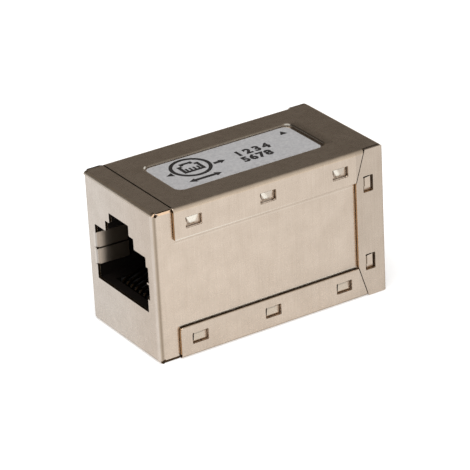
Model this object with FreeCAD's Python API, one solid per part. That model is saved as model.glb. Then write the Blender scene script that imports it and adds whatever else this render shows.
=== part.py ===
import FreeCAD, Part
import math
import os
from FreeCAD import Vector

# An in-line coupler for two shielded network plugs: a folded metal box with a
# socket in each end. X runs along the cable line and the front socket faces -X.
# Z is up and the latch notches of both sockets point up. The origin is in the
# middle of the underside. All sizes are in millimetres.

# Folded metal box
body_length = 34.0          # front face to rear face
body_width = 17.2           # over the cover's side flanges
body_height = 20.5
sheet = 0.35                # thickness of both folded shells
bend = 0.55                 # outside radius of the folds
lap_gap = 0.1               # front shell's side panels to the cover's flanges
seam_gap = 0.12             # between the cover's own sheet edges that face each other
tab_gap = 0.06              # front shell's strips to the cover's front edges
top_seam_gap = 0.2          # front shell's top strip to the cover's top
panel_gap = 0.05            # side panel's long edges to the strips above and below
strip_depth = 2.85          # top and bottom strips folded back from the front face
strip_corner = 0.5          # rounded free corners of the top strip
strip_corner_small = 0.3    # top strip's corners beside the front fold
top_strip_inset = 0.17      # top strip's sides from the cover's flanges
bottom_strip_inset = 0.6    # bottom strip's sides from the cover's flanges
relief_radius = 0.24        # relief holes where the front folds meet
relief_inset = 0.62         # relief holes from the front face
relief_shift = (-0.1, 0.02) # lower and upper holes, up from the side panels' long edges
panel_end_gap = 0.3         # side panels' rear edges to the cover's rear face

# Flanges of the cover, folded over the side panels
top_tab_height = 4.3
bottom_tab_height = 4.22
tab_corner = 0.45           # rounded front corner of the bottom flange
tab_corner_small = 0.15     # front corner of the top flange
rear_flange_width = 4.25
rear_corner = 0.5           # rounded upper corner of the rear flanges
mitre_reach = 2.9           # mitre seams end this far from the rear face
edge_round = 0.1            # rolled outer edge of the punched flanges

# Windows in the flanges and the pressed catches that stand in them
window_length = 2.36        # along the flange
window_height = 1.49        # across the flange
window_count = 3            # in each long edge of a side
window_first = 5.72         # first window's middle behind the front face
window_last = 6.62          # last window's middle from the rear face
top_window_drop = 2.26      # middle of the top windows below the top
bottom_window_rise = 2.37   # middle of the bottom windows above the base
rear_window_length = 2.25
rear_window_inset = 2.47    # middle of the rear windows from the rear face
rear_window_rise = 4.82     # middle of the lower rear windows above the base
rear_window_drop = 4.78     # middle of the upper rear windows below the top
window_corner = 0.12
catch_rise = 0.38           # catches stand this far out of the side panels at their cut edge
catch_gap = 0.23            # cut edge to the window's edge, before the shift
catch_side_gap = 0.25       # catch's sides to the window's walls, before the shift
catch_shift = 0.17          # the front shell sits this much forward and up in the cover
catch_depth = 1.2           # from the cut edge to where the catch dies out
catch_taper = 0.45          # each side leans in this much over the depth
catch_flank = 0.08          # each side leans in this much over the rise
catch_wall = 0.21           # thinned sheet of the pressed catches

# Socket openings, seen from the front
port_width = 12.25
port_sill = 6.45            # lower edge above the base
port_height = 7.55
latch_step_width = 6.8
latch_step_height = 1.45
latch_slot_width = 4.7
latch_slot_height = 1.42
port_corner = 0.15

# Ground fingers, folded in from both side edges of each opening
finger_length = 4.6
finger_height = 2.1
finger_split = 0.22         # slit between the two fingers of one side
finger_middle = 10.5        # height of that slit
finger_spring = 0.2         # the tips lean in this much
finger_bend = 0.6
finger_root = 1.0           # fingers start this far outside the opening's side edge

# Pressed recess in the top and the label that lies in it
recess_front = 6.33         # behind the front face
recess_rear = 5.6           # from the rear face
recess_width = 8.84
recess_offset = 0.1         # towards +Y from the middle
recess_depth = 0.4
recess_corner = 1.1
recess_edge = 0.25          # rounding of the recess's upper edge
label_gap = 0.2             # label to the recess walls
label_rear_gap = 0.45
label_thickness = 0.1

# Plastic jack housings
fit_gap = 0.1               # housings to the shells
cavity_depth = 12.6         # behind the shell's face
cavity_gap = 0.08           # cavity walls outside the metal opening's edges
latch_depth = 9.0           # behind the shell's face
finger_pocket_gap = 0.15
finger_pocket_end = 0.6     # pockets run this far behind the finger tips
chamber_half_width = 4.75   # space for the contact carrier under the cavity
chamber_floor = 0.95
chamber_front = 1.7         # behind the shell's face
comb_slot = 0.5             # slots in the cavity's back wall for the contact tips
comb_depth = 0.8
comb_drop = 0.5             # slots start this far below the sill
comb_rise = 2.2             # slots end this far above the free tips

# Circuit board that stands between the two jacks
board_thickness = 1.6
board_gap = 0.05
board_side_gap = 0.6        # board to the front shell's side panels
board_floor_gap = 0.55      # board to the cover's bottom
board_top_gap = 0.75        # board to the underside of the label recess
board_corner = 0.6

# Contacts: eight bent spring strips in each jack
contact_count = 8
contact_pitch = 1.02
contact_wire = 0.3          # thickness and width of the strip
contact_bend = 0.45         # bends at the tail, middle of the strip
contact_nose = 0.62         # bend at the front, middle of the strip
contact_nose_reach = 2.05   # nose behind the shell's face
contact_run_height = 5.1    # lower run above the base
contact_tip_depth = 9.8     # free tip behind the shell's face
contact_tip_height = 9.15
contact_riser_inset = 1.0   # tail riser from the board
tail_rows = (1.9, 3.4)      # heights of the tails of odd and even contacts, front jack
tail_row_shift = 0.75       # the rear jack's tails are this much higher
tail_overrun = 0.35         # tails stand out of the board's far side
board_hole = 0.27           # radius of the board's holes

# Contact carriers, the slotted plastic blocks that hold the contacts
carrier_gap = 0.08          # carrier to its chamber, and strip to its groove
carrier_base = 1.05
carrier_rib_top = 6.2
carrier_rear_inset = 1.6    # carrier's back from the board

# Margins of the construction itself
past = 1.0                  # cutting shapes run this far past what they cut
same = 1e-3                 # places closer than this are one place

# Places worked out from the sizes
front = -body_length / 2
rear = body_length / 2
half_width = body_width / 2
panel_half = half_width - sheet - lap_gap
top_inside = body_height - sheet
housing_half = panel_half - sheet - fit_gap
recess_floor = body_height - recess_depth
housing_top = recess_floor - sheet - fit_gap
housing_base = sheet + fit_gap
port_top = port_sill + port_height
board_face = board_thickness / 2
board_half = panel_half - sheet - board_side_gap
board_low = sheet + board_floor_gap
board_high = recess_floor - sheet - board_top_gap
recess_span = (front + recess_front, rear - recess_rear)


def edge_loop(corners, place):
    """Closed wire through corners (u, v, radius), each rounded by its radius."""
    entries = []
    exits = []
    middles = []
    count = len(corners)
    for i in range(count):
        here = Vector(corners[i][0], corners[i][1], 0)
        before = Vector(corners[i - 1][0], corners[i - 1][1], 0)
        after = Vector(corners[(i + 1) % count][0], corners[(i + 1) % count][1], 0)
        radius = corners[i][2]
        to_before = (before - here).normalize()
        to_after = (after - here).normalize()
        if radius <= 0:
            entries.append(here)
            exits.append(here)
            middles.append(None)
            continue
        half_angle = to_before.getAngle(to_after) / 2
        set_back = radius / math.tan(half_angle)
        inward = (to_before + to_after).normalize()
        centre = here + inward * (radius / math.sin(half_angle))
        entries.append(here + to_before * set_back)
        exits.append(here + to_after * set_back)
        middles.append(centre - inward * radius)
    edges = []
    for i in range(count):
        if middles[i] is not None:
            arc = Part.Arc(place(entries[i]), place(middles[i]), place(exits[i]))
            edges.append(arc.toShape())
        start = exits[i]
        end = entries[(i + 1) % count]
        if (end - start).Length > same:
            edges.append(Part.LineSegment(place(start), place(end)).toShape())
    return Part.Wire(edges)


def prism(axis, corners, start, end):
    """Solid of an outline: (x, y) along z, (x, z) along y or (y, z) along x."""
    if axis == "z":
        def place(p):
            return Vector(p.x, p.y, start)
        direction = Vector(0, 0, end - start)
    elif axis == "y":
        def place(p):
            return Vector(p.x, start, p.y)
        direction = Vector(0, end - start, 0)
    else:
        def place(p):
            return Vector(start, p.x, p.y)
        direction = Vector(end - start, 0, 0)
    return Part.Face(edge_loop(corners, place)).extrude(direction)


def block(x0, x1, y0, y1, z0, z1):
    return Part.makeBox(x1 - x0, y1 - y0, z1 - z0, Vector(x0, y0, z0))


def rectangle(u0, u1, v0, v1, radius=0.0):
    return [(u0, v0, radius), (u1, v0, radius), (u1, v1, radius), (u0, v1, radius)]


def channel(axis, free, web, low, high, start, end):
    """Sheet folded to a U: web across one end, its two legs at low and high.

    The legs run along x from web to free, or along z where the axis is x.
    """
    into = sheet if free > web else -sheet
    inner = bend - sheet
    corners = [
        (free, low, 0), (web, low, bend), (web, high, bend), (free, high, 0),
        (free, high - sheet, 0), (web + into, high - sheet, inner),
        (web + into, low + sheet, inner), (free, low + sheet, 0),
    ]
    if axis == "x":
        corners = [(v, u, radius) for u, v, radius in corners]
    return prism(axis, corners, start, end)


def fuse_all(shapes):
    result = shapes[0].multiFuse(shapes[1:])
    return result.removeSplitter()


def cut_all(shape, tools):
    return shape.cut(Part.makeCompound(tools))


def mirror_across(shape, normal):
    return shape.mirror(Vector(0, 0, 0), normal)


def both_sides(shape):
    """The shape and its twin on the other long side."""
    return [shape, mirror_across(shape, Vector(0, 1, 0))]


def port_outline(grow):
    """Socket opening with its two latch steps, as (y, z) corners, grown all round."""
    main = port_width / 2 + grow
    step = latch_step_width / 2 + grow
    slot = latch_slot_width / 2 + grow
    low = port_sill - grow
    shoulder = port_top + grow
    step_top = port_top + latch_step_height + grow
    slot_top = port_top + latch_step_height + latch_slot_height + grow
    r = port_corner
    return [
        (-main, low, r), (main, low, r), (main, shoulder, r), (step, shoulder, r),
        (step, step_top, r), (slot, step_top, r), (slot, slot_top, r), (-slot, slot_top, r),
        (-slot, step_top, r), (-step, step_top, r), (-step, shoulder, r), (-main, shoulder, r),
    ]


def finger_spans():
    """Heights between which the lower and the upper ground finger lie."""
    lower = finger_middle - finger_split / 2
    upper = finger_middle + finger_split / 2
    return [(lower - finger_height, lower), (upper, upper + finger_height)]


def ground_finger(low, high):
    """Finger on the +Y edge of the front opening, folded in and back."""
    edge = port_width / 2
    tip = front + finger_length
    corners = [
        (front, edge + finger_root, 0), (front, edge, finger_bend),
        (tip, edge - finger_spring, 0), (tip, edge - finger_spring + sheet, 0),
        (front + sheet, edge + sheet, finger_bend - sheet),
        (front + sheet, edge + finger_root, 0),
    ]
    return prism("z", corners, low, high)


def open_port(shell):
    """Cut the front socket opening and fold its ground fingers in."""
    tools = [prism("x", port_outline(0), front - past, front + sheet + past)]
    fingers = []
    edge = port_width / 2
    for low, high in finger_spans():
        notch = block(front - past, front + sheet + past, edge - past, edge + finger_bend, low, high)
        tools += both_sides(notch)
        fingers += both_sides(ground_finger(low, high))
    return fuse_all([cut_all(shell, tools)] + fingers)


def window_places():
    """Middle (x, z) and (length, height) of every window, with the side of its cut edge."""
    places = []
    pitch = (body_length - window_first - window_last) / (window_count - 1)
    for i in range(window_count):
        x = front + window_first + i * pitch
        size = (window_length, window_height)
        places.append((x, body_height - top_window_drop, size, "up"))
        places.append((x, bottom_window_rise, size, "down"))
    for z in (rear_window_rise, body_height - rear_window_drop):
        places.append((rear - rear_window_inset, z, (window_height, rear_window_length), "rear"))
    return places


def catch(x, z, size, cut_side):
    """Pressed catch on the -Y side: a half pocket that rises to its straight cut edge.

    It is drawn in its own plane, with the cut edge at w = 0 and w growing away
    from it, and u along the edge, and then placed in its window.
    """
    if cut_side == "rear":
        along = size[1]
        across = size[0]
    else:
        along = size[0]
        across = size[1]
    half = along / 2 - catch_side_gap
    edge_w = across / 2 - catch_gap
    x -= catch_shift
    z += catch_shift

    def place(u, w, out):
        y = -panel_half - out
        if cut_side == "up":
            return Vector(x + u, y, z + edge_w - w)
        if cut_side == "down":
            return Vector(x + u, y, z - edge_w + w)
        return Vector(x + edge_w - w, y, z + u)

    def pocket(inset, rise):
        foot = half - inset
        crest = foot - catch_flank
        end = foot - catch_taper
        depth = catch_depth - inset
        bottom = [(-foot, 0, -sheet), (foot, 0, -sheet), (end, depth, -sheet), (-end, depth, -sheet)]
        top = [(-crest, 0, rise), (crest, 0, rise), (end, depth, 0), (-end, depth, 0)]
        rings = [bottom, [(u, w, 0) for u, w, out in bottom], top]
        faces = [bottom[::-1]]
        for i in range(4):
            j = (i + 1) % 4
            faces.append([bottom[i], bottom[j], rings[1][j], rings[1][i]])
        faces.append([rings[1][0], rings[1][1], top[1], top[0]])
        faces.append([rings[1][1], rings[1][2], top[1]])
        faces.append([rings[1][3], rings[1][0], top[0]])
        faces.append([top[0], top[1], top[2], top[3]])
        shells = []
        for corners in faces:
            points = [place(*p) for p in corners]
            shells.append(Part.Face(Part.makePolygon(points + [points[0]])))
        solid = Part.Solid(Part.Shell(shells))
        if solid.Volume < 0:
            solid.reverse()
        return solid

    outer = pocket(0, catch_rise)
    inner = pocket(catch_wall, catch_rise - catch_wall)
    return outer, inner


def make_front_shell():
    """Front face, both side panels and the two short strips, one folded sheet."""
    low = sheet + panel_gap
    high = top_inside - panel_gap
    panels_end = rear - sheet - panel_end_gap
    sides = channel("z", panels_end, front, -panel_half, panel_half, low, high)
    strips = channel("y", front + strip_depth, front, 0, body_height, -panel_half, panel_half)
    fold_line = panel_half - bend
    corner_tools = both_sides(block(front - past, rear, fold_line, half_width + past, low, high))
    lower_trim = both_sides(block(front + bend, rear, half_width - bottom_strip_inset,
                                  half_width + past, -past, low))
    round_plan = prism("z", [
        (front, -panel_half, bend), (front, panel_half, bend), (rear, panel_half, 0), (rear, -panel_half, 0),
    ], -past, low)
    lower_trim.append(block(front - past, front + bend, -half_width, half_width, -past, low).cut(round_plan))
    strips = cut_all(strips, corner_tools + lower_trim)
    strip_half = half_width - top_strip_inset
    wide_strip = prism("z", [
        (front + bend, -strip_half, strip_corner_small), (front + strip_depth, -strip_half, strip_corner),
        (front + strip_depth, strip_half, strip_corner), (front + bend, strip_half, strip_corner_small),
    ], top_inside, body_height)
    shell = fuse_all([sides, strips, wide_strip])
    holes = []
    for z in (low + relief_shift[0], high + relief_shift[1]):
        middle = Vector(front + relief_inset, panel_half - 2 * sheet, z)
        hole = Part.makeCylinder(relief_radius, 4 * sheet, middle, Vector(0, 1, 0))
        holes += both_sides(hole)
    shell = open_port(cut_all(shell, holes))
    outers = []
    inners = []
    for x, z, size, cut_side in window_places():
        outer, inner = catch(x, z, size, cut_side)
        outers += both_sides(outer)
        inners += both_sides(inner)
    return cut_all(fuse_all([shell] + outers), inners)


def side_outline(name):
    """Flange outlines on the long sides, as (x, z) corners."""
    start = front + strip_depth + tab_gap
    inner_x = rear - rear_flange_width
    mitre_x = rear - mitre_reach
    upper = body_height - top_tab_height
    lower = bottom_tab_height
    if name == "top":
        return [(start, upper, tab_corner_small), (inner_x, upper, 0),
                (mitre_x, body_height, 0), (start, body_height, 0)]
    if name == "bottom":
        return [(start, lower, tab_corner), (inner_x, lower, 0), (mitre_x, 0, 0), (start, 0, 0)]
    return [(inner_x, lower, 0), (inner_x, upper, 0), (mitre_x, body_height - panel_gap, 0),
            (rear, body_height - panel_gap, rear_corner), (rear, panel_gap, 0), (mitre_x, panel_gap, 0)]


def mitre_slit(inner_z, outer_z):
    """Thin prism along one mitre seam, through both long sides."""
    inner = Vector(rear - rear_flange_width, 0, inner_z)
    outer = Vector(rear - mitre_reach, 0, outer_z)
    along = (outer - inner).normalize()
    across = along.cross(Vector(0, 1, 0)) * (seam_gap / 2)
    ends = [inner - along * seam_gap, outer + along * seam_gap]
    corners = [ends[0] - across, ends[0] + across, ends[1] + across, ends[1] - across]
    outline = [(p.x, p.z, 0) for p in corners]
    slit = prism("y", outline, half_width - bend, half_width + past)
    return both_sides(slit)


def press_recess(panel):
    """Push the label recess down into the cover's top."""
    x0, x1 = recess_span
    y0 = recess_offset - recess_width / 2
    y1 = recess_offset + recess_width / 2
    opening = rectangle(x0, x1, y0, y1, recess_corner)
    wall = rectangle(x0 - sheet, x1 + sheet, y0 - sheet, y1 + sheet, recess_corner + sheet)
    tray = prism("z", wall, recess_floor - sheet, body_height)
    tray = tray.cut(prism("z", opening, recess_floor, body_height + past))
    hole = prism("z", opening, top_inside - past, body_height + past)
    panel = fuse_all([panel.cut(hole), tray])
    rim = []
    for edge in panel.Edges:
        box = edge.BoundBox
        level = abs(box.ZMin - body_height) < same and abs(box.ZMax - body_height) < same
        within = (box.XMin > x0 - same and box.XMax < x1 + same
                  and box.YMin > y0 - same and box.YMax < y1 + same)
        if level and within:
            rim.append(edge)
    return panel.makeFillet(recess_edge, rim)


def rolled_edges(cover):
    """Outer edges of the punched sheet that the rolling tool left slightly round."""
    start = front + strip_depth + tab_gap
    inner_x = rear - rear_flange_width
    upper = body_height - top_tab_height
    edges = []
    for edge in cover.Edges:
        box = edge.BoundBox
        if abs(abs(box.YMin) - half_width) > same or box.YLength > same:
            continue
        at_front = abs(box.XMin - start) < same and box.XLength < tab_corner + same
        long_run = box.XLength > (inner_x - start) / 2
        along_tab = (long_run and (abs(box.ZMax - upper) < same
                                   or abs(box.ZMax - bottom_tab_height) < same))
        at_flange = abs(box.XMin - inner_x) < same and box.ZLength > (upper - bottom_tab_height) / 2
        if at_front or along_tab or at_flange:
            edges.append(edge)
    return edges


def make_rear_cover():
    """Top, rear face and bottom with their flanges, one folded sheet."""
    start = front + strip_depth + tab_gap
    flat_half = half_width - bend
    wrap = channel("y", start, rear, 0, body_height, -flat_half, flat_half)
    edge_half = half_width - sheet - seam_gap
    fillers = []
    for z0 in (0, top_inside):
        fillers.append(block(rear - mitre_reach, rear - bend, -edge_half, edge_half, z0, z0 + sheet))
    span = half_width + past
    top = channel("x", body_height - top_tab_height, body_height, -half_width, half_width,
                  start, rear - mitre_reach)
    top = top.common(prism("y", side_outline("top"), -span, span))
    bottom = channel("x", bottom_tab_height, 0, -half_width, half_width,
                     start, rear - mitre_reach)
    bottom = bottom.common(prism("y", side_outline("bottom"), -span, span))
    flange = channel("z", rear - rear_flange_width, rear, -half_width, half_width,
                     0, body_height)
    flange = flange.common(prism("y", side_outline("rear"), -span, span))
    flange = flange.cut(block(front, rear + past, -flat_half, flat_half, -past, body_height + past))
    cover = fuse_all([wrap, top, bottom, flange] + fillers)
    tools = mitre_slit(body_height - top_tab_height, body_height)
    tools += mitre_slit(bottom_tab_height, 0)
    for x, z, size, cut_side in window_places():
        outline = rectangle(x - size[0] / 2, x + size[0] / 2, z - size[1] / 2, z + size[1] / 2,
                            window_corner)
        tools.append(prism("y", outline, -span, span))
    cover = press_recess(cut_all(cover, tools))
    cover = cover.makeFillet(edge_round, rolled_edges(cover))
    cover = cover.cut(block(front, front + strip_depth + top_seam_gap, -flat_half, flat_half,
                            top_inside - past, body_height + past))
    turned = mirror_across(cover, Vector(1, 0, 0))
    return mirror_across(open_port(turned), Vector(1, 0, 0))


def make_label():
    """Thin plate label that lies in the recess."""
    x0 = recess_span[0] + label_gap
    x1 = recess_span[1] - label_rear_gap
    y0 = recess_offset - recess_width / 2 + label_gap
    y1 = recess_offset + recess_width / 2 - label_gap
    outline = rectangle(x0, x1, y0, y1, recess_corner - label_gap)
    return prism("z", outline, recess_floor, recess_floor + label_thickness)


def contact_y(index):
    return (index - (contact_count - 1) / 2) * contact_pitch


def contact_line(tail_height):
    """Middle line of a contact as (x, z, radius), from its tail in the board to its tip."""
    tail = board_face + tail_overrun
    riser = -board_face - contact_riser_inset
    nose = front + contact_nose_reach
    upper = contact_run_height + 2 * contact_nose
    tip = (front + contact_tip_depth, contact_tip_height)
    return [
        (tail, tail_height, 0), (riser, tail_height, contact_bend),
        (riser, contact_run_height, contact_bend), (nose, contact_run_height, contact_nose),
        (nose, upper, contact_nose), (tip[0], tip[1], 0),
    ]


def ribbon(line, thickness):
    """Outline of a strip of even thickness along a bent line."""
    half = thickness / 2
    left = []
    right = []
    for i, (u, v, radius) in enumerate(line):
        here = Vector(u, v, 0)
        if i > 0:
            incoming = (here - Vector(line[i - 1][0], line[i - 1][1], 0)).normalize()
        if i < len(line) - 1:
            outgoing = (Vector(line[i + 1][0], line[i + 1][1], 0) - here).normalize()
        if i == 0:
            incoming = outgoing
        if i == len(line) - 1:
            outgoing = incoming
        normal_in = Vector(-incoming.y, incoming.x, 0)
        normal_out = Vector(-outgoing.y, outgoing.x, 0)
        mean = (normal_in + normal_out).normalize()
        reach = half / mean.dot(normal_in)
        turns_left = incoming.cross(outgoing).z > 0
        inner = max(radius - half, 0)
        outer = radius + half if radius > 0 else 0
        p = here + mean * reach
        q = here - mean * reach
        left.append((p.x, p.y, inner if turns_left else outer))
        right.append((q.x, q.y, outer if turns_left else inner))
    return left + right[::-1]


def make_contact(index, row_shift):
    """One spring contact of the front jack."""
    tail_height = tail_rows[index % 2] + row_shift
    y = contact_y(index)
    outline = ribbon(contact_line(tail_height), contact_wire)
    return prism("y", outline, y - contact_wire / 2, y + contact_wire / 2)


def make_housing():
    """Front jack housing: a plastic block with the plug cavity and the contact chamber."""
    x0 = front + sheet + fit_gap
    x1 = -board_face - board_gap
    body = block(x0, x1, -housing_half, housing_half, housing_base, housing_top)
    back = front + cavity_depth
    main = port_width / 2 + cavity_gap
    low = port_sill - cavity_gap
    high = port_top + cavity_gap
    cavity = prism("x", rectangle(-main, main, low, high, port_corner), x0 - past, back)
    latch = prism("x", port_outline(cavity_gap), x0 - past, front + latch_depth)
    chamber = block(front + chamber_front, x1 + past, -chamber_half_width, chamber_half_width,
                    chamber_floor, low + port_corner)
    tools = [cavity, latch, chamber]
    spans = finger_spans()
    pocket_out = port_width / 2 + finger_bend + sheet + finger_pocket_gap
    pocket_in = port_width / 2 - finger_spring
    pocket = block(x0 - past, front + finger_length + finger_pocket_end, pocket_in, pocket_out,
                   spans[0][0] - finger_pocket_gap, spans[1][1] + finger_pocket_gap)
    tools += both_sides(pocket)
    for i in range(contact_count):
        y = contact_y(i)
        tools.append(block(back - cavity_gap, back + comb_depth, y - comb_slot / 2, y + comb_slot / 2,
                           low - comb_drop, contact_tip_height + comb_rise))
    return cut_all(body, tools)


def make_carrier():
    """Front contact carrier: a block with eight grooves, from the nose to the tails."""
    x0 = front + chamber_front + carrier_gap + contact_nose
    x1 = -board_face - carrier_rear_inset
    half = chamber_half_width - carrier_gap
    body = block(x0, x1, -half, half, carrier_base, carrier_rib_top)
    tools = []
    groove_floor = contact_run_height - contact_wire / 2
    width = contact_wire + 2 * carrier_gap
    for i in range(contact_count):
        y = contact_y(i)
        tools.append(block(x0 - past, x1 + past, y - width / 2, y + width / 2,
                           groove_floor, carrier_rib_top + past))
    return cut_all(body, tools)


def make_board():
    """Circuit board with a plated hole for each of the sixteen tails."""
    outline = rectangle(-board_half, board_half, board_low, board_high, board_corner)
    board = prism("x", outline, -board_face, board_face)
    holes = []
    for shift in (0, tail_row_shift):
        for i in range(contact_count):
            start = Vector(-board_face - past, contact_y(i), tail_rows[i % 2] + shift)
            holes.append(Part.makeCylinder(board_hole, board_thickness + 2 * past, start, Vector(1, 0, 0)))
    return cut_all(board, holes)


def save(name, shape):
    shape.exportStep("parts/" + name + ".step")


def main():
    os.makedirs("parts", exist_ok=True)
    back = Vector(1, 0, 0)
    save("front_shell", make_front_shell())
    save("rear_cover", make_rear_cover())
    save("label", make_label())
    save("circuit_board", make_board())
    save("front_jack_housing", make_housing())
    save("rear_jack_housing", mirror_across(make_housing(), back))
    save("front_contact_carrier", make_carrier())
    save("rear_contact_carrier", mirror_across(make_carrier(), back))
    for i in range(contact_count):
        save("front_contact_%d" % (i + 1), make_contact(i, 0))
        save("rear_contact_%d" % (i + 1), mirror_across(make_contact(i, tail_row_shift), back))


main()
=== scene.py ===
import math

import bmesh
import bpy
from mathutils import Matrix, Vector


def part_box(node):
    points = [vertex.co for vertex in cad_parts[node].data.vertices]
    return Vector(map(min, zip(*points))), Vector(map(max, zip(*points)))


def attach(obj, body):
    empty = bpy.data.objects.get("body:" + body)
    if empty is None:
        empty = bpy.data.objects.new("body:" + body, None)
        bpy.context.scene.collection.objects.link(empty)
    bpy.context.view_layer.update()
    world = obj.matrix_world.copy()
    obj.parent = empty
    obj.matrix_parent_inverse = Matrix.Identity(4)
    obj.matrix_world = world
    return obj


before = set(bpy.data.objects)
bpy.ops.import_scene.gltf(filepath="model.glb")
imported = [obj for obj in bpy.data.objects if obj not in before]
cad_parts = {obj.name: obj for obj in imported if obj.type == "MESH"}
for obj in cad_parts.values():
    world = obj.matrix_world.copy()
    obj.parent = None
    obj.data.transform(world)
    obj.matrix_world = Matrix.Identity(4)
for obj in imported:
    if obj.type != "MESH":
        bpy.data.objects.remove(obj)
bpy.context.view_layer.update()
mm = 0.001

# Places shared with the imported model, in millimetres, as all lengths in the shaders are
shell_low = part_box("front_shell")[0]
cover_low, cover_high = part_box("rear_cover")
label_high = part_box("label")[1]
front_x = shell_low.x / mm
rear_x = cover_high.x / mm
side_y = cover_high.y / mm
top_z = cover_high.z / mm
cover_front_x = cover_low.x / mm
sheet = 0.35
bend = 0.55                     # outer radius of the folds
lap_gap = 0.1                   # from a flange to the side panel under it
panel_y = side_y - sheet - lap_gap

# Flanges on each side: upper edge of the lower tab, lower edge of the upper tab, front edge of the rear one
tab_top = 4.22
tab_low = top_z - 4.3
flange_x = rear_x - 4.25

# Windows in the flanges, with the front shell's catches in them
catch_x = (front_x + 5.72, front_x + 16.55, front_x + 27.38)
past_catches_x = rear_x - 5.0
catch_zone = 4.0                # catches lie within this of the bottom or the top
window_reach = 1.4              # half a window's length and a margin
low_window = (1.6, 3.14)        # heights
high_window = (top_z - 3.03, top_z - 1.49)
rear_window = (rear_x - 3.24, rear_x - 1.7)

# Socket opening in the front face, with a margin; the last three say where the fingers' lean and the painted
# shade fade in or out
socket_half = 6.4
socket_z = (6.0, 17.2)
cut_half = 6.3                  # the opening's cut edge lies within this
inside_x = front_x + 0.3
finger_fade = (front_x + 1.7, front_x + 0.5)
finger_bend_fade = (front_x + 0.75, front_x + 0.35)
deep_fade = (front_x + 0.6, front_x + 2.7)

# Recess in the top, with a margin, and the places of the painted glints in its far corners
recess_half = 5.0
recess_x = (front_x + 5.5, rear_x - 4.5)
recess_z = (top_z - 0.6, top_z - 0.02)
recess_foot_z = top_z - 0.21    # the walls' lower part ends here
recess_rear = rear_x - 5.65     # foot of the rear wall
corner_x = (front_x + 6.65, rear_x - 5.95)
corner_y = (3.95, 4.6)
corner_half = 0.27
# painted shade on the top behind the recess fades between these
behind_fade = (rear_x - 3.7, rear_x - 5.6)
behind_half = 4.1               # painted shade darkens the top behind the recess within this
far_gap_y = 3.9                 # gap between the label and the far wall

# Painted light band over the lower tab, then soft lines on the front shell's sides, the brownish fold line,
# painted shadows and a painted glint: middle and half width
gap_band = (tab_top - 0.2, tab_top + 0.3)
fold_line = (front_x + 0.42, 0.34)
tab_shadow = (tab_low - 0.33, 0.1)
tab_glint = (tab_low - 0.52, 0.12)
low_shadow = (low_window[1] - 0.33, 0.15)
rear_shadow = (rear_window[0] + 0.37, 0.14)

# Limits that sort faces by a part of their normal, and the reach of a mask past its faces
barely = 0.05
a_little = 0.2
half_way = 0.5
mostly = 0.7
level = 0.95
slack = 0.02

# Camera, placed as the photograph was taken
image_pixels = 470
sensor_mm = 36.0
focal_pixels = 2887.8
camera_at = Vector((-0.172868, -0.281706, 0.168175))
camera_azimuth = math.radians(-31.495)
camera_elevation = math.radians(25.626)
camera_roll = math.radians(-3.055)


class Graph:
    """Nodes of one tree, added one by one and wired as they come."""

    mix_a = 6                   # places of the colour sockets on a mix node
    mix_b = 7
    mix_result = 2

    def __init__(self, tree):
        self.tree = tree

    def put(self, value, socket):
        """Link another socket or set a value; a colour of three numbers is made opaque."""
        if isinstance(value, bpy.types.NodeSocket):
            self.tree.links.new(value, socket)
        elif hasattr(value, "__len__") and len(value) == 3 and socket.type == "RGBA":
            socket.default_value = (*value, 1)
        else:
            socket.default_value = value

    def node(self, kind, **settings):
        made = self.tree.nodes.new(kind)
        for name, value in settings.items():
            setattr(made, name, value)
        return made

    def math(self, operation, a, b=0.0, clamp=False):
        made = self.node("ShaderNodeMath", operation=operation, use_clamp=clamp)
        self.put(a, made.inputs[0])
        self.put(b, made.inputs[1])
        return made.outputs[0]

    def all_of(self, *masks):
        result = masks[0]
        for mask in masks[1:]:
            result = self.math("MULTIPLY", result, mask)
        return result

    def any_of(self, *masks):
        result = masks[0]
        for mask in masks[1:]:
            result = self.math("MAXIMUM", result, mask)
        return result

    def share(self, mask, amount):
        return self.math("MULTIPLY", mask, amount)

    def strongest(self, *shares):
        """The greatest of some masks, each given with its share."""
        return self.any_of(*[self.share(mask, amount) for mask, amount in shares])

    def unless(self, mask, amount=1.0):
        """1 where the mask is 0, and less or nothing where it isn't."""
        return self.math("SUBTRACT", 1.0, self.share(mask, amount), clamp=True)

    def above(self, value, limit):
        return self.math("GREATER_THAN", value, limit)

    def below(self, value, limit):
        return self.math("LESS_THAN", value, limit)

    def within(self, value, low, high):
        return self.all_of(self.above(value, low), self.below(value, high))

    def around(self, value, middle, half):
        return self.within(value, middle - half, middle + half)

    def fade(self, value, start, end):
        """0 at start and 1 at end, smooth between them."""
        made = self.node("ShaderNodeMapRange", interpolation_type="SMOOTHSTEP")
        self.put(value, made.inputs["Value"])
        self.put(start, made.inputs["From Min"])
        self.put(end, made.inputs["From Max"])
        return made.outputs[0]

    def line(self, value, middle, half):
        """1 at the middle, fading to 0 at half to either side."""
        return self.all_of(self.fade(value, middle - half, middle), self.fade(value, middle + half, middle))

    def spread(self, value, low, high):
        """A noise value from about 0.3 to 0.7, stretched over low to high."""
        made = self.node("ShaderNodeMapRange")
        self.put(value, made.inputs["Value"])
        self.put(0.3, made.inputs["From Min"])
        self.put(0.7, made.inputs["From Max"])
        self.put(low, made.inputs["To Min"])
        self.put(high, made.inputs["To Max"])
        return made.outputs[0]

    def mix(self, share, a, b, blend="MIX"):
        made = self.node("ShaderNodeMix", data_type="RGBA", blend_type=blend)
        self.put(share, made.inputs[0])
        self.put(a, made.inputs[self.mix_a])
        self.put(b, made.inputs[self.mix_b])
        return made.outputs[self.mix_result]

    def parts(self, vector):
        split = self.node("ShaderNodeSeparateXYZ")
        self.put(vector, split.inputs[0])
        return split.outputs


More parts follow.
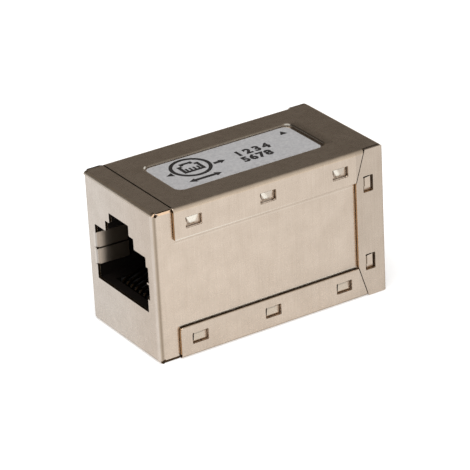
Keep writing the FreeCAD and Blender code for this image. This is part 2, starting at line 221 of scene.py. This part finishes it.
class Surface(Graph):
    """A material's nodes."""

    def __init__(self, name):
        self.material = bpy.data.materials.new(name)
        self.material.use_nodes = True
        super().__init__(self.material.node_tree)
        self.shader = self.tree.nodes["Principled BSDF"]
        self.output = self.tree.nodes["Material Output"]

    def place(self):
        """Position on the object in millimetres."""
        coordinates = self.node("ShaderNodeTexCoord")
        scaled = self.node("ShaderNodeVectorMath", operation="SCALE")
        self.put(coordinates.outputs["Object"], scaled.inputs[0])
        self.put(1 / mm, scaled.inputs["Scale"])
        return scaled.outputs[0]

    def facing(self):
        """The three parts of the face's own normal."""
        geometry = self.node("ShaderNodeNewGeometry")
        return self.parts(geometry.outputs["True Normal"])

    def noise(self, vector, scale, detail=2.0, roughness=0.5, stretch=(1, 1, 1)):
        mapped = self.node("ShaderNodeVectorMath", operation="MULTIPLY")
        self.put(vector, mapped.inputs[0])
        self.put(stretch, mapped.inputs[1])
        made = self.node("ShaderNodeTexNoise")
        self.put(mapped.outputs[0], made.inputs["Vector"])
        self.put(scale, made.inputs["Scale"])
        self.put(detail, made.inputs["Detail"])
        self.put(roughness, made.inputs["Roughness"])
        return made.outputs["Fac"]

    def rounded(self, radius_mm):
        """Normal as if the edges near it were rounded."""
        made = self.node("ShaderNodeBevel", samples=6)
        self.put(self.share(radius_mm, mm), made.inputs["Radius"])
        return made.outputs[0]

    def lean(self, normal, along_x, along_y):
        """Normal turned towards x and y by the given amounts."""
        turn = self.node("ShaderNodeCombineXYZ")
        self.put(along_x, turn.inputs[0])
        self.put(along_y, turn.inputs[1])
        added = self.node("ShaderNodeVectorMath", operation="ADD")
        self.put(normal, added.inputs[0])
        self.put(turn.outputs[0], added.inputs[1])
        made = self.node("ShaderNodeVectorMath", operation="NORMALIZE")
        self.put(added.outputs[0], made.inputs[0])
        return made.outputs[0]

    def bump(self, height, depth_mm, strength, normal=None):
        made = self.node("ShaderNodeBump")
        if normal is not None:
            self.put(normal, made.inputs["Normal"])
        self.put(strength, made.inputs["Strength"])
        self.put(depth_mm * mm, made.inputs["Distance"])
        self.put(height, made.inputs["Height"])
        return made.outputs[0]

    def set(self, **values):
        for name, value in values.items():
            self.put(value, self.shader.inputs[name.replace("_", " ")])


# Nickel plate: its own colours, a painted light tint on the front face, then the paints of its marks, where a
# later one covers an earlier one; most of these paints are painted light and shade
plate_color = (0.605, 0.515, 0.430)
plate_dark = (0.545, 0.460, 0.380)
# Painted light: the front face is tinted lighter and cooler from its near side to its far side
near_light_tint = (0.975, 1.015, 1.08)
far_light_tint = (1.06, 1.16, 1.29)
bend_tint = (1.04, 1.0, 0.93)
edge_tint = (0.55, 0.5, 0.45)   # what the plate mirrors at a grazing angle
paints = {
    "shade": (0.0, 0.0, 0.0),
    "brown_tone": (0.22, 0.17, 0.12),         # a brownish line along the front fold, and brown in the painted shade deep in the socket
    "gap_shadow": (0.10, 0.07, 0.045),         # painted shadow lines under the upper tab and in the lower and the rear windows
    "painted_highlight": (0.77, 0.73, 0.65),     # painted highlights: a light colour in place of reflected light
    "cut_in_shade": (0.05, 0.03, 0.014),         # cut edges, painted dark as if in shade
    "cut_in_light": (0.58, 0.38, 0.22),         # copper-coloured cut edges, painted as if lit
    # cut edges painted paler as if in more light, then brighter still as a painted highlight
    "cut_in_more_light": (0.76, 0.55, 0.38),
    "cut_highlight": (0.80, 0.66, 0.54),
}
cut_edges = ("cut_in_shade", "cut_in_light", "cut_in_more_light")
plate_rough = (0.24, 0.32)
cut_rough = 0.14                # added at cut edges
inside_rough = 0.25             # added in the socket
bright_rounding = 0.3
grain_depth = 0.004
grain_strength = 0.4
roll_lines = 0.14               # how dark the rolling lines are
roll_stretch = (1, 1, 0.03)
tint_y = (-8.0, 5.0)            # the front face's painted light tint changes between these
to_rear_shade = 0.07            # the sides grow darker by this to the rear and to the bottom
to_bottom_shade = 0.06
to_bottom_z = (11.0, 3.0)


def nickel_plate(name, masks):
    """Satin nickel on copper alloy; masks gives the parts that are painted otherwise, mostly with painted
    light and shade, and those that are matt or have a turned normal.
    """
    g = Surface(name)
    vector = g.place()
    at = g.parts(vector)
    normal = g.facing()
    marks = masks(g, at, normal)
    cloud = g.noise(vector, scale=0.35, detail=4.0, roughness=0.6)
    grain = g.noise(vector, scale=9.0, detail=3.0, roughness=0.7)
    lines = g.noise(vector, scale=6.0, detail=3.0, roughness=0.6, stretch=roll_stretch)
    patches = g.noise(vector, scale=1.3, detail=5.0, roughness=0.7)
    color = g.mix(g.spread(cloud, 0, 1), plate_dark, plate_color)
    color = g.mix(g.share(g.spread(lines, 0, 1), roll_lines), color, plate_dark, "MULTIPLY")
    # painted light tint on the front face
    front_light_tint = g.mix(g.fade(at[1], *tint_y), near_light_tint, far_light_tint)
    color = g.mix(g.below(normal[0], -mostly), color, front_light_tint, "MULTIPLY")
    color = g.mix(g.within(normal[2], barely, level), color, bend_tint, "MULTIPLY")
    for mark, paint in paints.items():
        if mark in marks:
            color = g.mix(marks[mark], color, paint)
    cut = g.any_of(*[marks[mark] for mark in cut_edges if mark in marks])
    rough = g.math("ADD", g.spread(patches, *plate_rough), g.share(cut, cut_rough))
    rough = g.math("ADD", rough, g.share(marks.get("inside", 0.0), inside_rough))
    round_edges = g.rounded(g.share(marks.get("cut_highlight", 0.0), bright_rounding))
    outward = g.share(marks["lean_out"], g.math("SIGN", at[1]))
    turned = g.lean(round_edges, marks["lean_front"], outward)
    relief = g.math("ADD", g.share(grain, 0.5), lines)
    g.set(Base_Color=color, Metallic=g.unless(marks["matt"]), Roughness=rough,
          Normal=g.bump(relief, grain_depth, grain_strength, turned), Specular_Tint=edge_tint)
    return g.material


def side_shade(g, x, z, faces_out):
    """The sides grow a little darker to the rear and to the bottom."""
    to_rear = g.share(g.fade(x, front_x + 2.0, rear_x), to_rear_shade)
    to_bottom = g.all_of(g.fade(z, *to_bottom_z), faces_out, to_bottom_shade)
    return g.math("ADD", to_rear, to_bottom)


def under_catches(g, x, z):
    """Lower edge of the upper windows, without its ends, and how matt it is in each."""
    share_per_catch = (0.35, 1.0, 0.5)
    half = 0.75
    found = g.strongest(*[(g.around(x, middle, half), amount) for middle, amount in zip(catch_x, share_per_catch)])
    return g.all_of(found, g.within(z, high_window[0] - 0.03, high_window[0] + 0.25))


def catch_slopes(g, x, z):
    """The part in front of each upper catch's slanted edge and the part behind it, which get painted shade in
    place of the painted highlight.
    """
    slant_run = 0.65            # along the flange for 1 down
    slant_start = 1.1           # upper end of the slant, before the window's middle
    blur = 0.08
    slope = (0.3, 0.75)         # painted shade grows on a catch between these distances behind its slant
    # how much painted shade each catch gets behind its slant
    share_per_catch = (0.0, 0.25, 0.28)
    end = (0.3, 1.0)            # and painted shade again between these distances behind its middle
    end_shade = 0.4
    beside = []
    catch_shade = []
    run = g.share(g.math("SUBTRACT", high_window[1], z), slant_run)
    for middle, amount in zip(catch_x, share_per_catch):
        here = g.around(x, middle, window_reach)
        behind = g.math("SUBTRACT", x, g.math("ADD", run, middle - slant_start))
        beside.append(g.all_of(here, g.fade(behind, blur, -blur)))
        catch_shade.append(g.all_of(here, g.fade(behind, *slope), amount))
        catch_shade.append(g.all_of(here, g.fade(x, middle + end[0], middle + end[1]), end_shade))
    return g.any_of(*beside), g.any_of(*catch_shade)


def front_shell_masks(g, at, normal):
    """The front shell's marks: how much of each paint, matt surface or lean a place gets."""
    x, y, z = at
    across = g.math("ABSOLUTE", y)
    along = g.math("ABSOLUTE", normal[0])
    out = g.math("ABSOLUTE", normal[1])
    up_or_down = g.math("ABSOLUTE", normal[2])
    faces_out = g.above(out, mostly)
    top_strip_inset = 0.6       # the short strips' ends lie within these of the sides
    low_strip_inset = 0.7
    fold_inset = 0.5
    seam_height = 3.4           # the slanted seams run this far from the top and from the bottom
    catch_out = 0.6             # a catch's slope faces out by more than this
    bend_out = 0.15             # and a finger's bend by this

    # Cut edges of the strips, the catches and the opening, and the seams beside the rear flange, painted dark
    # as if in shade; the upper strip's edge painted as if in more light
    on_panel = g.above(across, panel_y - slack)
    past_panel = g.above(across, panel_y + slack)
    high_strip = g.all_of(g.above(z, top_z - sheet - slack), g.above(across, side_y - top_strip_inset),
                          faces_out)
    low_strip = g.all_of(g.below(z, sheet + slack), g.above(across, side_y - low_strip_inset), faces_out)
    faces_up_or_back = g.any_of(g.above(up_or_down, mostly), g.above(normal[0], mostly))
    catch_cuts = g.all_of(past_panel, g.below(out, catch_out), faces_up_or_back)
    by_socket = g.all_of(g.below(across, socket_half), g.within(z, *socket_z))
    opening = g.all_of(by_socket, g.below(across, cut_half), g.below(x, front_x + sheet - 0.01),
                       g.below(along, a_little))
    seams = g.all_of(on_panel, g.above(x, flange_x - 0.1),
                     g.any_of(g.below(z, seam_height), g.above(z, top_z - seam_height)))

    # Catches: painted highlights, sharp on the upper ones and faint on the lower ones, and painted shade in
    # their place beside and behind the upper ones' slants
    tongues = g.all_of(past_panel, g.above(out, catch_out), g.below(x, past_catches_x))
    high_tongues = g.all_of(tongues, g.above(z, top_z - catch_zone))
    low_tongues = g.all_of(tongues, g.below(z, catch_zone))
    beside, catch_shade = catch_slopes(g, x, z)
    catch_highlight = g.all_of(high_tongues, g.unless(beside), g.unless(catch_shade, 2.5))
    dim = g.all_of(high_tongues, g.strongest((beside, 0.25), (catch_shade, 1.0)))

    # Soft lines beside the tabs, in the lower and the rear windows, and along the front fold: a painted light
    # band and glint, painted shadow lines, and a brownish fold line
    by_tabs = g.all_of(on_panel, g.within(x, cover_front_x, flange_x))
    above_gap = g.all_of(by_tabs, g.within(z, *gap_band))
    under_tab = g.all_of(by_tabs, g.line(z, *tab_shadow))
    glint = g.all_of(by_tabs, g.line(z, *tab_glint))
    low_line = g.all_of(on_panel, g.line(z, *low_shadow), g.within(x, cover_front_x + 0.5, past_catches_x))
    rear_line = g.all_of(on_panel, g.line(x, *rear_shadow))
    fold = g.all_of(g.line(x, *fold_line), g.above(across, panel_y - fold_inset))

    # Socket: the ground fingers, and painted shade inside, on the fingers' bends and, darkest and brown,
    # further in
    inside = g.all_of(by_socket, g.above(x, inside_x))
    fingers = g.all_of(inside, faces_out, g.fade(x, *finger_fade))
    finger_bend = g.all_of(by_socket, g.above(out, bend_out), g.fade(x, *finger_bend_fade),
                           g.above(x, front_x + slack))
    deep = g.all_of(inside, g.fade(x, *deep_fade))

    return {
        "cut_in_shade": g.any_of(low_strip, opening, catch_cuts, seams),
        "cut_in_more_light": high_strip,
        "brown_tone": g.strongest((fold, 0.78), (deep, 0.5)),
        "gap_shadow": g.strongest((under_tab, 0.15), (low_line, 0.6), (rear_line, 1.0)),
        "painted_highlight": g.strongest((catch_highlight, 1.0), (low_tongues, 0.25), (glint, 0.15), (above_gap, 0.6)),
        "shade": g.strongest((side_shade(g, x, z, faces_out), 1.0), (dim, 1.0), (inside, 0.2), (deep, 0.9),
                             (finger_bend, 0.32)),
        "inside": inside,
        "matt": g.all_of(under_catches(g, x, z), on_panel, 0.7),
        "lean_front": g.share(fingers, -0.4),
        "lean_out": g.all_of(high_tongues, g.fade(z, high_window[0] + 1.1, high_window[0] + 0.5)),
    }


def rear_cover_masks(g, at, normal):
    """The rear cover's marks, as for the front shell."""
    x, y, z = at
    across = g.math("ABSOLUTE", y)
    out = g.math("ABSOLUTE", normal[1])
    faces_out = g.above(out, mostly)
    before_flange = g.below(x, flange_x)
    on_flange = g.above(x, flange_x)
    cut_inset = sheet + 0.03    # cut edges lie within this of the flanges' outer faces
    rim_inset = 0.14            # how far in from there the other masks of the edges reach or start
    wall_inset = 0.04
    sill_inset = 0.06
    lean_inset = 0.17

    # Cut edges of the flanges, round them and in their windows, painted dark as if in shade; the tabs' front
    # edges painted as if lit, and a painted highlight on the rims
    inside_bends = g.all_of(g.within(z, bend + slack, top_z - bend - slack), g.below(x, rear_x - bend))
    edges = g.all_of(g.above(across, side_y - cut_inset), g.below(out, half_way), inside_bends)
    long_windows = g.all_of(g.any_of(g.within(z, *low_window), g.within(z, *high_window)),
                            g.within(x, catch_x[0] - window_reach, catch_x[2] + window_reach))
    rear_windows = g.all_of(g.within(x, *rear_window), g.above(across, side_y - 0.5))
    in_windows = g.any_of(long_windows, rear_windows)
    past_windows = g.unless(in_windows)
    front_edges = g.all_of(edges, g.below(normal[0], -half_way))
    top_edges = g.all_of(edges, g.above(normal[2], half_way))
    tab_fronts = g.all_of(front_edges, past_windows)
    rim = g.all_of(top_edges, past_windows, g.above(across, side_y - rim_inset))
    top_front = g.all_of(g.below(x, cover_front_x + 0.2), g.below(normal[0], -mostly))

    # Window walls and sills, painted as if lit and with painted highlights: the first window's wall is the
    # brightest, the rear windows' the darkest
    after_first = (catch_x[0] + catch_x[1]) / 2
    walls = g.all_of(front_edges, in_windows, g.below(across, side_y - wall_inset))
    first_wall = g.all_of(walls, g.below(x, after_first))
    next_walls = g.all_of(walls, g.within(x, after_first, flange_x))
    rear_walls = g.all_of(walls, on_flange)
    on_top_half = g.above(z, top_z / 2)
    sills = g.all_of(top_edges, in_windows, g.below(across, side_y - sill_inset))
    high_sills = g.all_of(sills, on_top_half, before_flange)
    low_sills = g.all_of(sills, g.unless(on_top_half), before_flange)
    rear_sills = g.all_of(sills, on_flange)

    # Painted highlight on the lower edge of the upper tab, painted shade on the lower tab and the rear flange
    rolled = g.all_of(g.within(z, tab_low + 0.03, tab_low + 0.2), g.within(x, cover_front_x, flange_x),
                      g.above(across, side_y - sill_inset), g.fade(x, past_catches_x, front_x))
    low_tab = g.all_of(g.below(z, tab_top + 0.1), faces_out, before_flange)
    flange = g.all_of(on_flange, faces_out)

    # Recess: painted shade on the walls, the brim and the top behind it, a painted highlight on the foot of
    # the long walls, and painted glints in the far corners
    sloped = g.below(normal[2], level)
    walled = g.all_of(g.within(z, *recess_z), sloped)
    in_recess = g.all_of(walled, g.below(across, recess_half), g.within(x, *recess_x))
    before_rear = g.all_of(in_recess, g.below(x, recess_rear))
    foot = g.all_of(before_rear, g.below(z, recess_foot_z), g.below(normal[2], half_way))
    other_walls = g.all_of(before_rear, g.unless(foot))
    rear_wall = g.all_of(in_recess, g.above(x, recess_rear))
    by_brim = g.above(x, recess_rear - 0.05)
    brim = g.all_of(in_recess, g.above(normal[2], 0.3), by_brim)
    behind = g.all_of(g.fade(x, *behind_fade), g.below(across, behind_half), by_brim, g.above(z, recess_z[0]))
    corners = g.any_of(*[g.around(x, middle, corner_half) for middle in corner_x])
    glints = g.all_of(corners, g.within(y, *corner_y), walled)
    far_gap = g.all_of(g.above(y, far_gap_y), g.below(across, recess_half), g.above(normal[2], level),
                       g.within(z, recess_z[0], top_z - 0.3))

    return {
        "cut_in_shade": g.any_of(edges, top_front),
        "cut_in_light": g.any_of(tab_fronts, rear_sills),
        "cut_in_more_light": low_sills,
        "painted_highlight": g.strongest((glints, 0.7), (foot, 0.6), (rolled, 0.6)),
        "shade": g.strongest((side_shade(g, x, z, faces_out), 1.0), (flange, 0.19), (low_tab, 0.1),
                             (other_walls, 0.62), (rear_wall, 0.403), (foot, 0.12), (behind, 0.3),
                             (brim, 0.74)),
        "cut_highlight": g.strongest((first_wall, 0.95), (next_walls, 0.65), (rear_walls, 0.26), (high_sills, 1.0),
                              (rim, 0.7)),
        "matt": g.all_of(under_catches(g, x, z), high_sills, 0.5),
        "lean_front": g.share(glints, -0.8),
        "lean_out": g.math("SUBTRACT", g.all_of(high_sills, g.below(across, side_y - lean_inset)),
                           g.strongest((far_gap, 0.4), (glints, 1.2))),
    }


# Label foil, ink, plastics, board and contacts
foil_dark = (0.395, 0.395, 0.41)
foil_light = (0.60, 0.595, 0.60)
foil_cloud = (0.46, 0.44, 0.42)
ink_dark = (0.012, 0.011, 0.011)
ink_light = (0.035, 0.032, 0.03)
# Painted shade: the contacts' gold is made far darker than gold, as if in the socket's shade
shaded_gold_dark = (0.034, 0.02, 0.01)
shaded_gold_light = (0.058, 0.035, 0.016)
drawn_stretch = (0.1, 1, 0.1)
housing_colors = ((0.005, 0.0035, 0.0025), (0.008, 0.005, 0.004))
carrier_colors = ((0.015, 0.015, 0.015), (0.025, 0.025, 0.025))
board_colors = ((0.01, 0.07, 0.03), (0.015, 0.10, 0.04))


def label_foil():
    g = Surface("label_foil")
    vector = g.place()
    speck = g.noise(vector, scale=3.0, detail=4.0, roughness=0.75)
    cloud = g.noise(vector, scale=0.5, detail=3.0)
    color = g.mix(g.spread(speck, 0, 1), foil_dark, foil_light)
    color = g.mix(g.share(cloud, 0.3), color, foil_cloud)
    g.set(Base_Color=color, Metallic=0.15, Roughness=g.spread(speck, 0.45, 0.6),
          Normal=g.bump(speck, 0.003, 0.4))
    return g.material


def print_ink():
    g = Surface("label_ink")
    speck = g.noise(g.place(), scale=5.0, detail=3.0, roughness=0.7)
    color = g.mix(g.spread(speck, 0, 1), ink_dark, ink_light)
    g.set(Base_Color=color, Roughness=0.6, Specular_IOR_Level=0.15)
    return g.material


def moulded(name, dark, light, rough, depth, gloss=0.5):
    """Plastic or lacquer with a faint texture; rough is the range of its roughness."""
    g = Surface(name)
    vector = g.place()
    texture = g.noise(vector, scale=8.0, detail=4.0, roughness=0.6)
    cloud = g.noise(vector, scale=0.6, detail=2.0)
    color = g.mix(g.spread(cloud, 0, 1), dark, light)
    g.set(Base_Color=color, Roughness=g.spread(texture, *rough), Normal=g.bump(texture, depth, 0.5),
          Specular_IOR_Level=gloss)
    return g.material


def contact_gold():
    g = Surface("contact_gold")
    drawn = g.noise(g.place(), scale=12.0, detail=3.0, stretch=drawn_stretch)
    color = g.mix(g.spread(drawn, 0, 1), shaded_gold_dark, shaded_gold_light)
    g.set(Base_Color=color, Metallic=1.0, Roughness=g.spread(drawn, 0.2, 0.32))
    return g.material


def dress_nodes():
    """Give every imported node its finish."""
    black = moulded("black_plastic", *housing_colors, rough=(0.45, 0.6), depth=0.006, gloss=0.2)
    grey = moulded("carrier_plastic", *carrier_colors, rough=(0.5, 0.65), depth=0.006)
    finishes = {
        "front_shell": nickel_plate("nickel_front", front_shell_masks),
        "rear_cover": nickel_plate("nickel_cover", rear_cover_masks),
        "label": label_foil(),
        "circuit_board": moulded("board_mask", *board_colors, rough=(0.25, 0.4), depth=0.004),
        "front_jack_housing": black,
        "rear_jack_housing": black,
        "front_contact_carrier": grey,
        "rear_contact_carrier": grey,
    }
    gold = contact_gold()
    for name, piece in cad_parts.items():
        piece.data.materials.clear()
        piece.data.materials.append(finishes.get(name, gold))


# Print on the label: a socket seen from the front, arrows and the contact numbers
ink_thickness = 0.02 * mm
ink_base = label_high.z - 0.005 * mm
same_point = 0.0001 * mm
font_scale = 1.4                # font size for a digit 1 high
boldness = 0.075                # digits grow by this share of their height
font_steps = 4


def ink_piece(name, mesh, ink):
    piece = bpy.data.objects.new(name, mesh)
    bpy.context.scene.collection.objects.link(piece)
    mesh.materials.clear()
    mesh.materials.append(ink)
    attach(piece, "root")


def ink_shape(name, outlines, centre, ink):
    """Flat shapes, each a loop of (x, y) points in millimetres about centre."""
    mesh = bpy.data.meshes.new(name)
    work = bmesh.new()
    for outline in outlines:
        corners = []
        for x, y in outline:
            corners.append(work.verts.new(((centre[0] + x) * mm, (centre[1] + y) * mm, ink_base)))
        work.faces.new(corners)
    bmesh.ops.remove_doubles(work, verts=work.verts[:], dist=same_point)
    grown = bmesh.ops.extrude_face_region(work, geom=work.faces[:])
    top = [v for v in grown["geom"] if isinstance(v, bmesh.types.BMVert)]
    bmesh.ops.translate(work, verts=top, vec=(0, 0, ink_thickness))
    bmesh.ops.recalc_face_normals(work, faces=work.faces[:])
    work.to_mesh(mesh)
    work.free()
    ink_piece(name, mesh, ink)


def ink_text(name, text, height, centre, ink, spacing):
    """A row of digits, height in millimetres, with its middle at centre."""
    curve = bpy.data.curves.new(name, "FONT")
    curve.body = text
    curve.align_x = "CENTER"
    curve.align_y = "CENTER"
    curve.size = height * font_scale * mm
    curve.space_character = spacing
    curve.offset = boldness * height * mm
    curve.extrude = ink_thickness / 2
    curve.resolution_u = font_steps
    shape = bpy.data.objects.new(name + "_curve", curve)
    bpy.context.scene.collection.objects.link(shape)
    bpy.context.view_layer.update()
    mesh = bpy.data.meshes.new_from_object(shape.evaluated_get(bpy.context.evaluated_depsgraph_get()))
    bpy.data.objects.remove(shape)
    middle = ink_base + ink_thickness / 2
    mesh.transform(Matrix.Translation((centre[0] * mm, centre[1] * mm, middle)))
    mesh.name = name
    ink_piece(name, mesh, ink)


def bar(x0, x1, y0, y1):
    return [(x0, y0), (x1, y0), (x1, y1), (x0, y1)]


def tip(x, base_x, half):
    """Arrow tip that points along x from base_x to x."""
    return [(x, 0), (base_x, half), (base_x, -half)]


def ring(outer, inner, steps):
    """Flat ring as a chain of four-sided outlines."""
    outlines = []
    for i in range(steps):
        first = math.tau * i / steps
        last = math.tau * (i + 1) / steps
        outlines.append([(outer * math.cos(first), outer * math.sin(first)),
                         (outer * math.cos(last), outer * math.sin(last)),
                         (inner * math.cos(last), inner * math.sin(last)),
                         (inner * math.cos(first), inner * math.sin(first))])
    return outlines


def socket_symbol():
    """Outline of a socket with its latch step and four contacts."""
    line = 0.44
    half = 1.55
    low = -1.3
    shoulder = 0.45
    step = 0.9
    step_top = 1.1
    contact_pitch = 0.56
    contact_half = 0.15
    contact_top = low + 1.2
    outlines = [
        bar(-half, half, low, low + line),
        bar(-half, -half + line, low + line, shoulder),
        bar(half - line, half, low + line, shoulder),
        bar(-half, -step, shoulder, shoulder + line),
        bar(step, half, shoulder, shoulder + line),
        bar(-step, -step + line, shoulder + line, step_top),
        bar(step - line, step, shoulder + line, step_top),
        bar(-step, step, step_top, step_top + line),
    ]
    for i in range(4):
        x = (i - 1.5) * contact_pitch
        outlines.append(bar(x - contact_half, x + contact_half, low + line, contact_top))
    return outlines


def print_label():
    ink = print_ink()
    ring_centre = (-5.48, 1.23)
    tip_half = 0.55
    arrow_end = 2.4
    arrow_neck = 1.45
    shaft_half = 0.27
    digit_height = 1.4
    ink_shape("label_mark_ring", ring(2.78, 2.28, 64), ring_centre, ink)
    ink_shape("label_mark_socket", socket_symbol(), ring_centre, ink)
    ink_shape("label_mark_left", [tip(-0.55, 0.4, tip_half)], (-8.8, 0.7), ink)
    ink_shape("label_mark_right", [tip(0.85, 0, tip_half), bar(-0.85, 0, -0.26, 0.26)], (-1.75, 0.4), ink)
    arrow = [tip(-arrow_end, -arrow_neck, tip_half), bar(-arrow_neck, arrow_neck, -shaft_half, shaft_half),
             tip(arrow_end, arrow_neck, tip_half)]
    ink_shape("label_mark_arrow", arrow, (-5.56, -2.45), ink)
    ink_text("label_digits_upper", "1 2 3 4", digit_height, (3.45, 0.8), ink, spacing=0.92)
    ink_text("label_digits_lower", "5 6 7 8", digit_height, (2.95, -1.15), ink, spacing=0.8)
    ink_shape("label_mark_corner", [[(-0.55, -0.5), (0.55, -0.5), (0, 0.5)]], (9.35, 2.9), ink)


# Stage, lamp and camera; heights of the sky are the sine of the angle above the horizon
white = (1, 1, 1)
floor_color = (0.82, 0.82, 0.82)
floor_glow = 0.45
floor_half = 1.5
floor_drop = 0.05 * mm
sky_dark = (0.19, 0.178, 0.165)
sky_dark_from = math.sin(math.radians(18))
sky_white_to = math.sin(math.radians(3))
sky_front_y = (0.5, -1.1)


def build_floor():
    mesh = bpy.data.meshes.new("floor")
    corners = [(x, y, -floor_drop) for x, y in bar(-floor_half, floor_half, -floor_half, floor_half)]
    mesh.from_pydata(corners, [], [(0, 1, 2, 3)])
    floor = bpy.data.objects.new("floor", mesh)
    bpy.context.scene.collection.objects.link(floor)
    g = Surface("floor_paper")
    g.set(Base_Color=floor_color, Roughness=1.0, Specular_IOR_Level=0.0)
    path = g.node("ShaderNodeLightPath")
    seen = g.any_of(path.outputs["Is Camera Ray"], path.outputs["Is Glossy Ray"],
                    path.outputs["Is Transmission Ray"])
    glow = g.node("ShaderNodeEmission")
    g.put(white, glow.inputs["Color"])
    g.put(g.share(seen, floor_glow), glow.inputs["Strength"])
    both = g.node("ShaderNodeAddShader")
    g.put(g.shader.outputs[0], both.inputs[0])
    g.put(glow.outputs[0], both.inputs[1])
    g.put(both.outputs[0], g.output.inputs["Surface"])
    mesh.materials.append(g.material)


def build_world():
    """White where the camera looks; for the rest white low down and in front, dark above and behind."""
    world = bpy.data.worlds.new("studio")
    bpy.context.scene.world = world
    world.use_nodes = True
    g = Graph(world.node_tree)
    coordinates = g.node("ShaderNodeTexCoord")
    direction = g.parts(coordinates.outputs["Generated"])
    low_down = g.fade(direction["Z"], sky_dark_from, sky_white_to)
    in_front = g.fade(direction["Y"], *sky_front_y)
    sky = g.mix(g.any_of(low_down, in_front), sky_dark, white)
    path = g.node("ShaderNodeLightPath")
    background = g.tree.nodes["Background"]
    g.put(g.mix(path.outputs["Is Camera Ray"], sky, white), background.inputs["Color"])
    g.put(1.0, background.inputs["Strength"])


def softbox(name, at, size, watts):
    """Square area lamp that faces the object."""
    aim = Vector((0, 0, 0.01))
    data = bpy.data.lights.new(name, "AREA")
    data.shape = "SQUARE"
    data.size = size
    data.energy = watts
    lamp = bpy.data.objects.new(name, data)
    lamp.location = at
    lamp.rotation_euler = (aim - Vector(at)).to_track_quat("-Z", "Y").to_euler()
    bpy.context.scene.collection.objects.link(lamp)


def build_camera():
    back = Vector((math.sin(camera_azimuth) * math.cos(camera_elevation),
                   -math.cos(camera_azimuth) * math.cos(camera_elevation),
                   math.sin(camera_elevation)))
    side = Vector((math.cos(camera_azimuth), math.sin(camera_azimuth), 0))
    upright = back.cross(side)
    right = side * math.cos(camera_roll) + upright * math.sin(camera_roll)
    up = upright * math.cos(camera_roll) - side * math.sin(camera_roll)
    data = bpy.data.cameras.new("camera")
    data.sensor_fit = "HORIZONTAL"
    data.sensor_width = sensor_mm
    data.lens = sensor_mm * focal_pixels / image_pixels
    data.clip_start = 0.01
    data.clip_end = 20
    camera = bpy.data.objects.new("camera", data)
    turn = Matrix((right, up, back)).transposed().to_4x4()
    camera.matrix_world = Matrix.Translation(camera_at) @ turn
    bpy.context.scene.collection.objects.link(camera)
    bpy.context.scene.camera = camera


dress_nodes()
print_label()
build_floor()
build_world()
softbox("overhead", (-0.25, -0.15, 1.0), size=0.6, watts=6.0)
build_camera()
bpy.context.scene.view_settings.view_transform = "Standard"
